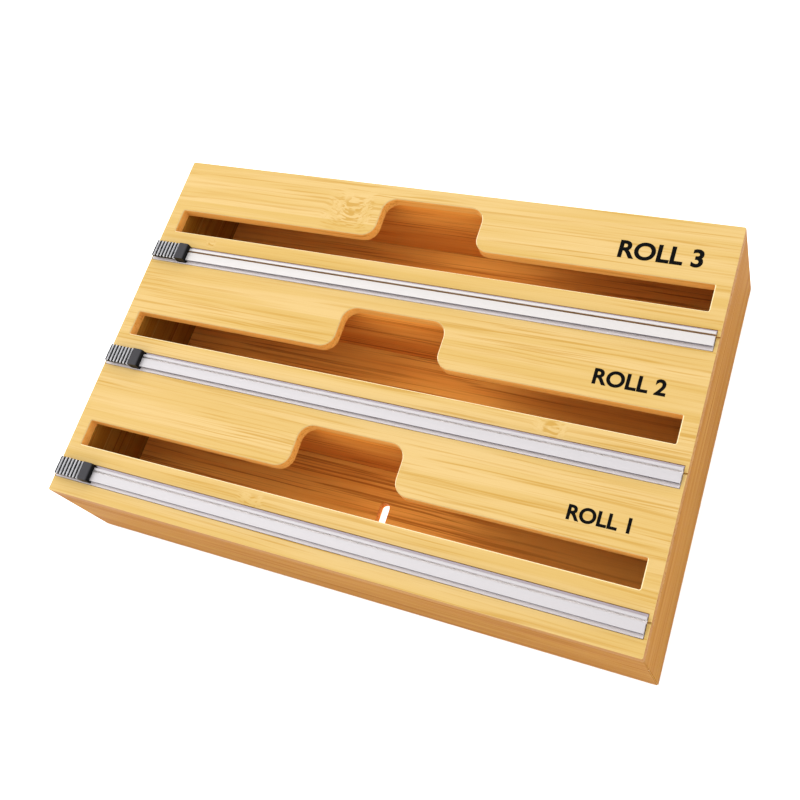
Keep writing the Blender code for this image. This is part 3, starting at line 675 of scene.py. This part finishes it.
@dataclass(frozen=True)
class RibbedGripAbs(Finish):
    """Moulded dark grey ABS with ribs for the thumb.

    The block's flat top keeps the mould's fine texture. The ribs' right-facing flanks and the
    floor of the last gap carry a painted highlight, the crests are a darker tone than the top, and
    the grooves, the ends and every other face that is not level are painted black as shade.
    """

    top: str = "#2c2b2e"
    crest: str = "#0e0d0f"
    groove: str = "#040405"
    painted_highlight: str = "#d6d6da"
    rib_part_mm: float = 16.0
    last_gap_mm: float = 0.9
    crest_drop_mm: float = 0.8
    groove_drop_mm: float = 1.9
    ior: float = 1.53
    specular: float = 0.08
    roughness: float = 0.4
    grit_mm: float = 0.35

    def draw(self, add: AddNode, shader: bpy.types.Node) -> dict[str, bpy.types.Node]:
        """Picks the tone from the way that a face looks and from its place on the grip."""
        shader.inputs["IOR"].default_value = self.ior
        shader.inputs["Specular IOR Level"].default_value = self.specular
        shader.inputs["Roughness"].default_value = self.roughness
        place = add(PLACE)
        along, _, height = add(SPLIT, (place.outputs["Object"],)).outputs
        right_part, _, up_part = add(SPLIT, (place.outputs["Normal"],)).outputs
        low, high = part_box("front_slider_grip")
        crest = high.z - self.crest_drop_mm * MM
        floor = high.z - self.groove_drop_mm * MM
        painted_highlight, groove = linear(self.painted_highlight), linear(self.groove)

        # Painted shade: the groove floors are painted near black, and the crests a darker grey than the
        # top
        raised = add(RANGE, (height, floor + 0.1 * MM, crest - 0.2 * MM))
        ribs = add(MIX, {0: raised, UNDER: groove, OVER: linear(self.crest)}, **COLOURS)
        on_block = add(RANGE, (height, crest + 0.1 * MM, crest + 0.3 * MM))
        level = add(MIX, {0: on_block, UNDER: ribs, OVER: linear(self.top)}, **COLOURS)
        # Painted shade: every face that is not level is painted near black
        flat = add(RANGE, (up_part, 0.6, 0.9))
        colour = add(MIX, {0: flat, UNDER: groove, OVER: level}, **COLOURS)

        # Painted highlight on the right-facing rib flanks and on the floor of the last gap
        ribs_end = low.x + self.rib_part_mm * MM
        in_ribs = add(MATHS, (along, ribs_end - 0.1 * MM), operation="LESS_THAN")
        above_floor = add(RANGE, (height, floor - 0.05 * MM, floor + 0.1 * MM))
        flank = add(MATHS, (in_ribs, above_floor), operation="MULTIPLY")
        flank = add(MATHS, (add(RANGE, (right_part, 0.25, 0.6)), flank), operation="MULTIPLY")
        colour = add(MIX, {0: flank, UNDER: colour, OVER: painted_highlight}, **COLOURS)
        last_gap = add(MATHS, (along, ribs_end - self.last_gap_mm * MM), operation="GREATER_THAN")
        last_gap = add(MATHS, (last_gap, in_ribs), operation="MULTIPLY")
        last_gap = add(MATHS, (last_gap, add(RANGE, (up_part, 0.3, 0.6))), operation="MULTIPLY")
        colour = add(MIX, {0: last_gap, UNDER: colour, OVER: painted_highlight}, **COLOURS)

        inputs = {"Vector": place.outputs["Object"], "Scale": 1 / (self.grit_mm * MM), "Detail": 3.0}
        grit = add(NOISE, inputs)
        bump = add(BUMP, {"Strength": 0.4, "Distance": 0.02 * MM, "Height": grit})
        return {"Base Color": colour, "Normal": bump}


@dataclass(frozen=True)
class PlatedMetal(Finish):
    """Steel or a magnet with a plated or ground surface: fine scratches spread its reflections.

    The scratches are drawn several times as wide as real ones, which would be too fine to show.
    """

    colour: str
    roughness: float
    scratch_mm: float = 0.15
    scratch_length_mm: float = 6.0
    scratch_tone: float = 0.8

    def draw(self, add: AddNode, shader: bpy.types.Node) -> dict[str, bpy.types.Node]:
        """Sets a metal whose roughness and tone follow fine scratches along X."""
        shader.inputs["Metallic"].default_value = 1.0
        place = add(PLACE).outputs["Object"]
        width = self.scratch_mm * MM
        size = (1 / (self.scratch_length_mm * MM), 1 / width, 1 / width)
        stretch = add("ShaderNodeMapping", {"Vector": place, "Scale": size})
        lines = add(NOISE, {"Vector": stretch, "Scale": 1.0, "Detail": 2.0})
        base = linear(self.colour)
        darker = (*[channel * self.scratch_tone for channel in base[:3]], 1.0)
        share = add(RANGE, (lines, 0.25, 0.65))
        colour = add(MIX, {0: share, UNDER: darker, OVER: base}, **COLOURS)
        rough = add(RANGE, (lines, 0.0, 1.0, self.roughness + 0.12, self.roughness))
        return {"Base Color": colour, "Roughness": rough}


# Where the canes' joints show on the lid: one broad scar by its back edge and three small ones
LID_KNUCKLES = (
    Knuckle(along_mm=-46.0, across_mm=86.0, reach_mm=17.0, spread_mm=10.0, lift_mm=6.0),
    Knuckle(along_mm=-41.0, across_mm=-88.0, reach_mm=9.0, spread_mm=4.0, lift_mm=2.5),
    Knuckle(along_mm=100.0, across_mm=-17.0, reach_mm=10.0, spread_mm=5.0, lift_mm=3.0),
    Knuckle(along_mm=-128.0, across_mm=53.0, reach_mm=5.0, spread_mm=3.0, lift_mm=1.5),
)
# Straw on the sanded face. Brown on cut edges and on the walls' faces, partly the bamboo's own
# deeper tone and partly painted shade on upright sides. Amber in the slots and inside the box is
# painted light: the warm glow where light reaches the eye only after it has met bamboo more than once
FACE_TONES = WoodTones(pale="#b09663", deep="#a88b4e", streak="#9b762f")
EDGE_TONES = WoodTones(pale="#9c6e28", deep="#905c17", streak="#753f07")
SLOT_PAINTED_LIGHT_TONES = WoodTones(pale="#dca050", deep="#d49444", streak="#b4742a")
INSIDE_PAINTED_LIGHT_TONES = WoodTones(pale="#eaa44a", deep="#dd8c38", streak="#9c5216")
# The lid: strips side by side, so that each one's tone shows, with painted highlights along its rounded
# edges
BAMBOO_TOP = LaminatedBamboo(
    "sanded_bamboo_face",
    Grain.ALONG_X,
    Strips.SIDE_BY_SIDE,
    face=FACE_TONES,
    cut=SLOT_PAINTED_LIGHT_TONES,
    inside=INSIDE_PAINTED_LIGHT_TONES,
    rim=EDGE_TONES,
    edge_highlight_strength=0.8,
    joint_strength=0.1,
    knuckles=LID_KNUCKLES,
)
# The walls: stacked strips show as level lines, and a low gloss keeps the floor's light off them
BAMBOO_LONG_WALL = LaminatedBamboo(
    "bamboo_board_along_x",
    # The faces take the edges' brown, partly the boards' own deeper tone and partly painted shade on
    # upright sides
    Grain.ALONG_X,
    Strips.STACKED,
    face=EDGE_TONES,
    cut=EDGE_TONES,
    inside=INSIDE_PAINTED_LIGHT_TONES,
    rim=EDGE_TONES,
    strip_start_mm=3.0,
    gloss=0.015,
)
BAMBOO_SHORT_WALL = replace(BAMBOO_LONG_WALL, name="bamboo_board_along_y", grain=Grain.ALONG_Y)
# The tracks' grooves are painted white as light and the rear one's brown as shade, and the rear
# track's body is painted a little lighter as light
TRACK_PVC = {
    "front": ClearPvc("front_extruded_clear_pvc", "front"),
    "middle": ClearPvc("middle_extruded_clear_pvc", "middle"),
    "rear": ClearPvc("rear_extruded_clear_pvc", "rear", tint="#bebab8", groove_light_and_shade="#b08c62"),
}
# Dark plastics: near black, so that the grips' painted highlights on their flanks stand out from them
GREY_ABS = RibbedGripAbs("moulded_grey_abs")
BLACK_ACETAL = MouldedPlastic("moulded_black_acetal", colour="#161616", ior=1.48, roughness=0.5)
# Foam scatters light, so that it is white with hardly any gloss, and ink soaks light up
FOAM_TAPE = MouldedPlastic("white_foam_tape", colour="#ecebe8", ior=1.45, roughness=0.85, grit_mm=0.6)
BLACK_INK = MouldedPlastic("printed_black_ink", colour="#040404", ior=1.15, roughness=0.9, mottle=0.3)
# Metals: ground steel glints, zinc is cooler and duller, nickel is warm
BLADE_STEEL = PlatedMetal("ground_stainless_steel", colour="#cfcfce", roughness=0.25)
ZINC = PlatedMetal("zinc_plated_steel", colour="#c4c5c8", roughness=0.32)
NICKEL = PlatedMetal("nickel_plated_magnet", colour="#c9c5bb", roughness=0.22)


# Sub-assemblies


@dataclass
class BambooBox:
    """The open box: four mitred walls, the base board and two dividers between the roll bays."""

    def build(self) -> None:
        """Dresses the boards so that each one's grain runs along its length."""
        for node in ("front_wall", "back_wall", "front_divider", "rear_divider", "base_board"):
            dress(node, BAMBOO_LONG_WALL)
        for side in SIDES:
            dress(f"{side}_wall", BAMBOO_SHORT_WALL)


@dataclass
class SlottedLid:
    """The top panel with its slots and notches, and the printed roll numbers."""

    print_thickness_mm: float = 0.05
    print_lift_mm: float = 0.01
    print_weight: float = 0.03
    letter_depth: float = 0.5
    weld_distance: float = 1e-5
    label_centres_mm: tuple[Point2, ...] = ((131.5, -54.3), (129.0, 14.6), (127.5, 85.8))
    label_heights_mm: tuple[float, ...] = (7.6, 8.6, 10.4)

    def build(self) -> None:
        """Dresses the panel and prints a number by each bay."""
        dress("lid_panel", BAMBOO_TOP)
        places = zip(BAYS, self.label_centres_mm, self.label_heights_mm)
        for number, (bay, centre, height) in enumerate(places, start=1):
            self.print_label(bay, f"ROLL {number}", centre, height)

    def print_label(self, bay: str, words: str, centre_mm: Point2, height_mm: float) -> None:
        """Prints one label as thin black letters that lie on the panel.

        Args:
            bay: the bay that it belongs to.
            words: what it says.
            centre_mm: its middle, in the frame's millimetres.
            height_mm: the letters' height.
        """
        curve = bpy.data.curves.new(f"{bay}_label_letters", "FONT")
        curve.body = words
        curve.offset = self.print_weight
        curve.extrude = self.letter_depth
        letters = bpy.data.objects.new(f"{bay}_label_letters", curve)
        bpy.context.scene.collection.objects.link(letters)
        bpy.context.view_layer.update()
        source = letters.evaluated_get(bpy.context.evaluated_depsgraph_get())
        bm = bmesh.new()
        bm.from_mesh(source.to_mesh())
        source.to_mesh_clear()
        bpy.data.objects.remove(letters, do_unlink=True)
        bmesh.ops.remove_doubles(bm, verts=bm.verts, dist=self.weld_distance)
        low = Vector(map(min, *[v.co for v in bm.verts]))
        high = Vector(map(max, *[v.co for v in bm.verts]))
        middle = (low + high) / 2
        scale = height_mm * MM / (high.y - low.y)
        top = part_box("lid_panel")[1].z
        floor = top + self.print_lift_mm * MM
        for vert in bm.verts:
            raised = self.print_thickness_mm * MM if vert.co.z > middle.z else 0.0
            x = centre_mm[0] * MM + (vert.co.x - middle.x) * scale
            y = centre_mm[1] * MM + (vert.co.y - middle.y) * scale
            vert.co = (x, y, floor + raised)
        add_mesh(f"{bay}_roll_number", bm, BLACK_INK, "lid")


@dataclass
class CutterTrack:
    """A clear extruded track: thin flanges, a T-shaped head and the groove that the blade runs in."""

    bay: str
    flange_mm: float = 0.7
    stem_mm: float = 5.8
    head_mm: float = 7.8
    head_underside_mm: float = 2.0
    groove_mm: float = 1.0
    groove_back_mm: float = 1.9
    groove_floor_mm: float = 1.0
    corner_mm: float = 0.25

    def section(self) -> list[Point2]:
        """Returns the track's (y, z) section in millimetres from the middle of its underside."""
        low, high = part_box(f"{self.bay}_track")
        half = (high.y - low.y) / 2 / MM
        top = (high.z - low.z) / MM
        r = self.corner_mm
        head = self.head_mm / 2
        stem = self.stem_mm / 2
        back = self.groove_back_mm + self.groove_mm / 2
        front = self.groove_back_mm - self.groove_mm / 2
        points = [(half, 0.0)]
        points += arc((half - r, self.flange_mm - r), r, 0, 90)
        points += [(stem, self.flange_mm), (stem, self.head_underside_mm)]
        points.append((head, self.head_underside_mm))
        points += arc((head - r, top - r), r, 0, 90)
        points += arc((back + r, top - r), r, 90, 180)
        points += [(back, self.groove_floor_mm), (front, self.groove_floor_mm)]
        points += arc((front - r, top - r), r, 0, 90)
        points += arc((-head + r, top - r), r, 90, 180)
        points += [(-head, self.head_underside_mm), (-stem, self.head_underside_mm)]
        points.append((-stem, self.flange_mm))
        points += arc((-half + r, self.flange_mm - r), r, 90, 180)
        points.append((-half, 0.0))
        return points

    def build(self) -> None:
        """Builds the track in place of the frame's plain one, and dresses the tape under it."""
        node = f"{self.bay}_track"
        low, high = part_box(node)
        middle = (low.y + high.y) / 2
        section = [(middle + y * MM, low.z + z * MM) for y, z in self.section()]
        shape = extrude_along_x(section, low.x, high.x)
        piece = add_mesh(f"{self.bay}_clear_track", shape, TRACK_PVC[self.bay], "lid")
        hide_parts(node)
        dress(f"{self.bay}_track_tape", FOAM_TAPE)


@dataclass
class SlideCutter:
    """A slide cutter: the ribbed grip, its blade carrier and the blade."""

    bay: str
    soften_mm: float = 0.15

    def build(self) -> None:
        """Dresses the cutter's three pieces."""
        dress(f"{self.bay}_slider_grip", GREY_ABS, self.soften_mm)
        dress(f"{self.bay}_blade_carrier", BLACK_ACETAL)
        dress(f"{self.bay}_blade", BLADE_STEEL)


@dataclass
class LidHinges:
    """Two butt hinges behind the box, each with two leaves, a pin and four screws."""

    def build(self) -> None:
        """Dresses each hinge's pieces in zinc."""
        for side in SIDES:
            dress(f"{side}_hinge_pin", ZINC)
            for owner in ("box", "lid"):
                dress(f"{side}_hinge_{owner}_leaf", ZINC)
                for number in (1, 2):
                    dress(f"{side}_hinge_{owner}_screw_{number}", ZINC)


@dataclass
class LidMagnets:
    """Four small disc magnets that hold the lid shut at its front corners."""

    def build(self) -> None:
        """Dresses the magnets in nickel."""
        for side in SIDES:
            for owner in ("box", "lid"):
                dress(f"{side}_{owner}_magnet", NICKEL)


# Studio


@dataclass
class Studio:
    """A pale floor under soft studio light, and the camera."""

    floor_half: float = 6.0
    floor_colour: str = "#f8fbff"
    panel_strength: float = 0.95
    sky_colour: str = "#ffffff"
    sky_strength: float = 1.92
    key_place: Point2 = (-0.9, 0.15)
    key_height: float = 1.5
    key_size: float = 1.2
    key_power: float = 12.0
    camera_place_mm: tuple[float, float, float] = (242.1, -188.0, 571.9)
    camera_aim_mm: tuple[float, float, float] = (-18.5, 20.8, 64.0)
    camera_roll_deg: float = -36.12
    lens_mm: float = 50.93
    shift: Point2 = (0.05, -0.0975)

    def build(self) -> None:
        """Sets up the floor, the light and the camera."""
        self.lay_floor()
        self.light()
        self.aim_camera()

    def lay_floor(self) -> None:
        """Lays a large matt white floor just under the box."""
        half = self.floor_half
        bm = bmesh.new()
        corners = ((-half, -half), (half, -half), (half, half), (-half, half))
        bm.faces.new([bm.verts.new((x, y, 0.0)) for x, y in corners])
        mesh = bpy.data.meshes.new("studio_floor")
        bm.to_mesh(mesh)
        bm.free()
        paper = bpy.data.materials.new("matt_white_paper")
        paper.use_nodes = True
        shader = paper.node_tree.nodes["Principled BSDF"]
        shader.inputs["Base Color"].default_value = linear(self.floor_colour)
        shader.inputs["Roughness"].default_value = 1.0
        shader.inputs["Specular IOR Level"].default_value = 0.0
        self.light_panel(paper.node_tree, shader)
        mesh.materials.append(paper)
        floor = bpy.data.objects.new("studio_floor", mesh)
        bpy.context.scene.collection.objects.link(floor)

    def light_panel(self, tree: bpy.types.NodeTree, shader: bpy.types.Node) -> None:
        """Lights the paper from below under the middle of the box, so that the keyhole shows white.

        Args:
            tree: the paper's node tree.
            shader: its shader.
        """
        low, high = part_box("base_board")
        place = add_node(tree, PLACE).outputs["Object"]
        x, y, _ = add_node(tree, SPLIT, (place,)).outputs
        lit: Value = self.panel_strength
        for socket, near, far in ((x, low.x, high.x), (y, low.y, high.y)):
            away = add_node(tree, MATHS, (socket, (near + far) / 2), operation="SUBTRACT")
            away = add_node(tree, MATHS, (away,), operation="ABSOLUTE")
            under = add_node(tree, MATHS, (away, (far - near) / 2), operation="LESS_THAN")
            lit = add_node(tree, MATHS, (lit, under), operation="MULTIPLY")
        shader.inputs["Emission Color"].default_value = linear("#ffffff")
        tree.links.new(output(lit), shader.inputs["Emission Strength"])

    def light(self) -> None:
        """Hangs a large soft light to the upper left and fills from all round."""
        world = bpy.data.worlds.new("studio")
        world.use_nodes = True
        sky = world.node_tree.nodes["Background"]
        sky.inputs["Color"].default_value = linear(self.sky_colour)
        sky.inputs["Strength"].default_value = self.sky_strength
        scene = bpy.context.scene
        scene.world = world
        scene.view_settings.view_transform = "Standard"
        lamp = bpy.data.lights.new("key", "AREA")
        lamp.shape = "DISK"
        lamp.size = self.key_size
        lamp.energy = self.key_power
        key = bpy.data.objects.new("key", lamp)
        key.location = (*self.key_place, self.key_height)
        key.rotation_mode = "QUATERNION"
        key.rotation_quaternion = (-key.location).to_track_quat("-Z", "Y")
        scene.collection.objects.link(key)

    def aim_camera(self) -> None:
        """Places the camera above the front right corner, rolled so that the box leans in the frame."""
        lens = bpy.data.cameras.new("camera")
        lens.sensor_width = 36.0
        lens.lens = self.lens_mm
        lens.shift_x, lens.shift_y = self.shift
        lens.clip_start = 0.01
        camera = bpy.data.objects.new("camera", lens)
        camera.location = Vector(self.camera_place_mm) * MM
        towards = (Vector(self.camera_aim_mm) - Vector(self.camera_place_mm)).normalized()
        camera.rotation_mode = "QUATERNION"
        roll = Quaternion((0, 0, 1), math.radians(self.camera_roll_deg))
        camera.rotation_quaternion = towards.to_track_quat("-Z", "Y") @ roll
        bpy.context.scene.collection.objects.link(camera)
        bpy.context.scene.camera = camera


def main() -> None:
    """Builds the dispenser's looks piece by piece."""
    logging.basicConfig(level=logging.INFO, format="%(name)s: %(message)s")
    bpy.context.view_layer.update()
    parts = [BambooBox(), SlottedLid()]
    parts += [CutterTrack(bay) for bay in BAYS]
    parts += [SlideCutter(bay) for bay in BAYS]
    parts += [LidHinges(), LidMagnets(), Studio()]
    for part in parts:
        part.build()
        log.info("built %s", part)


if __name__ == "__main__":
    main()
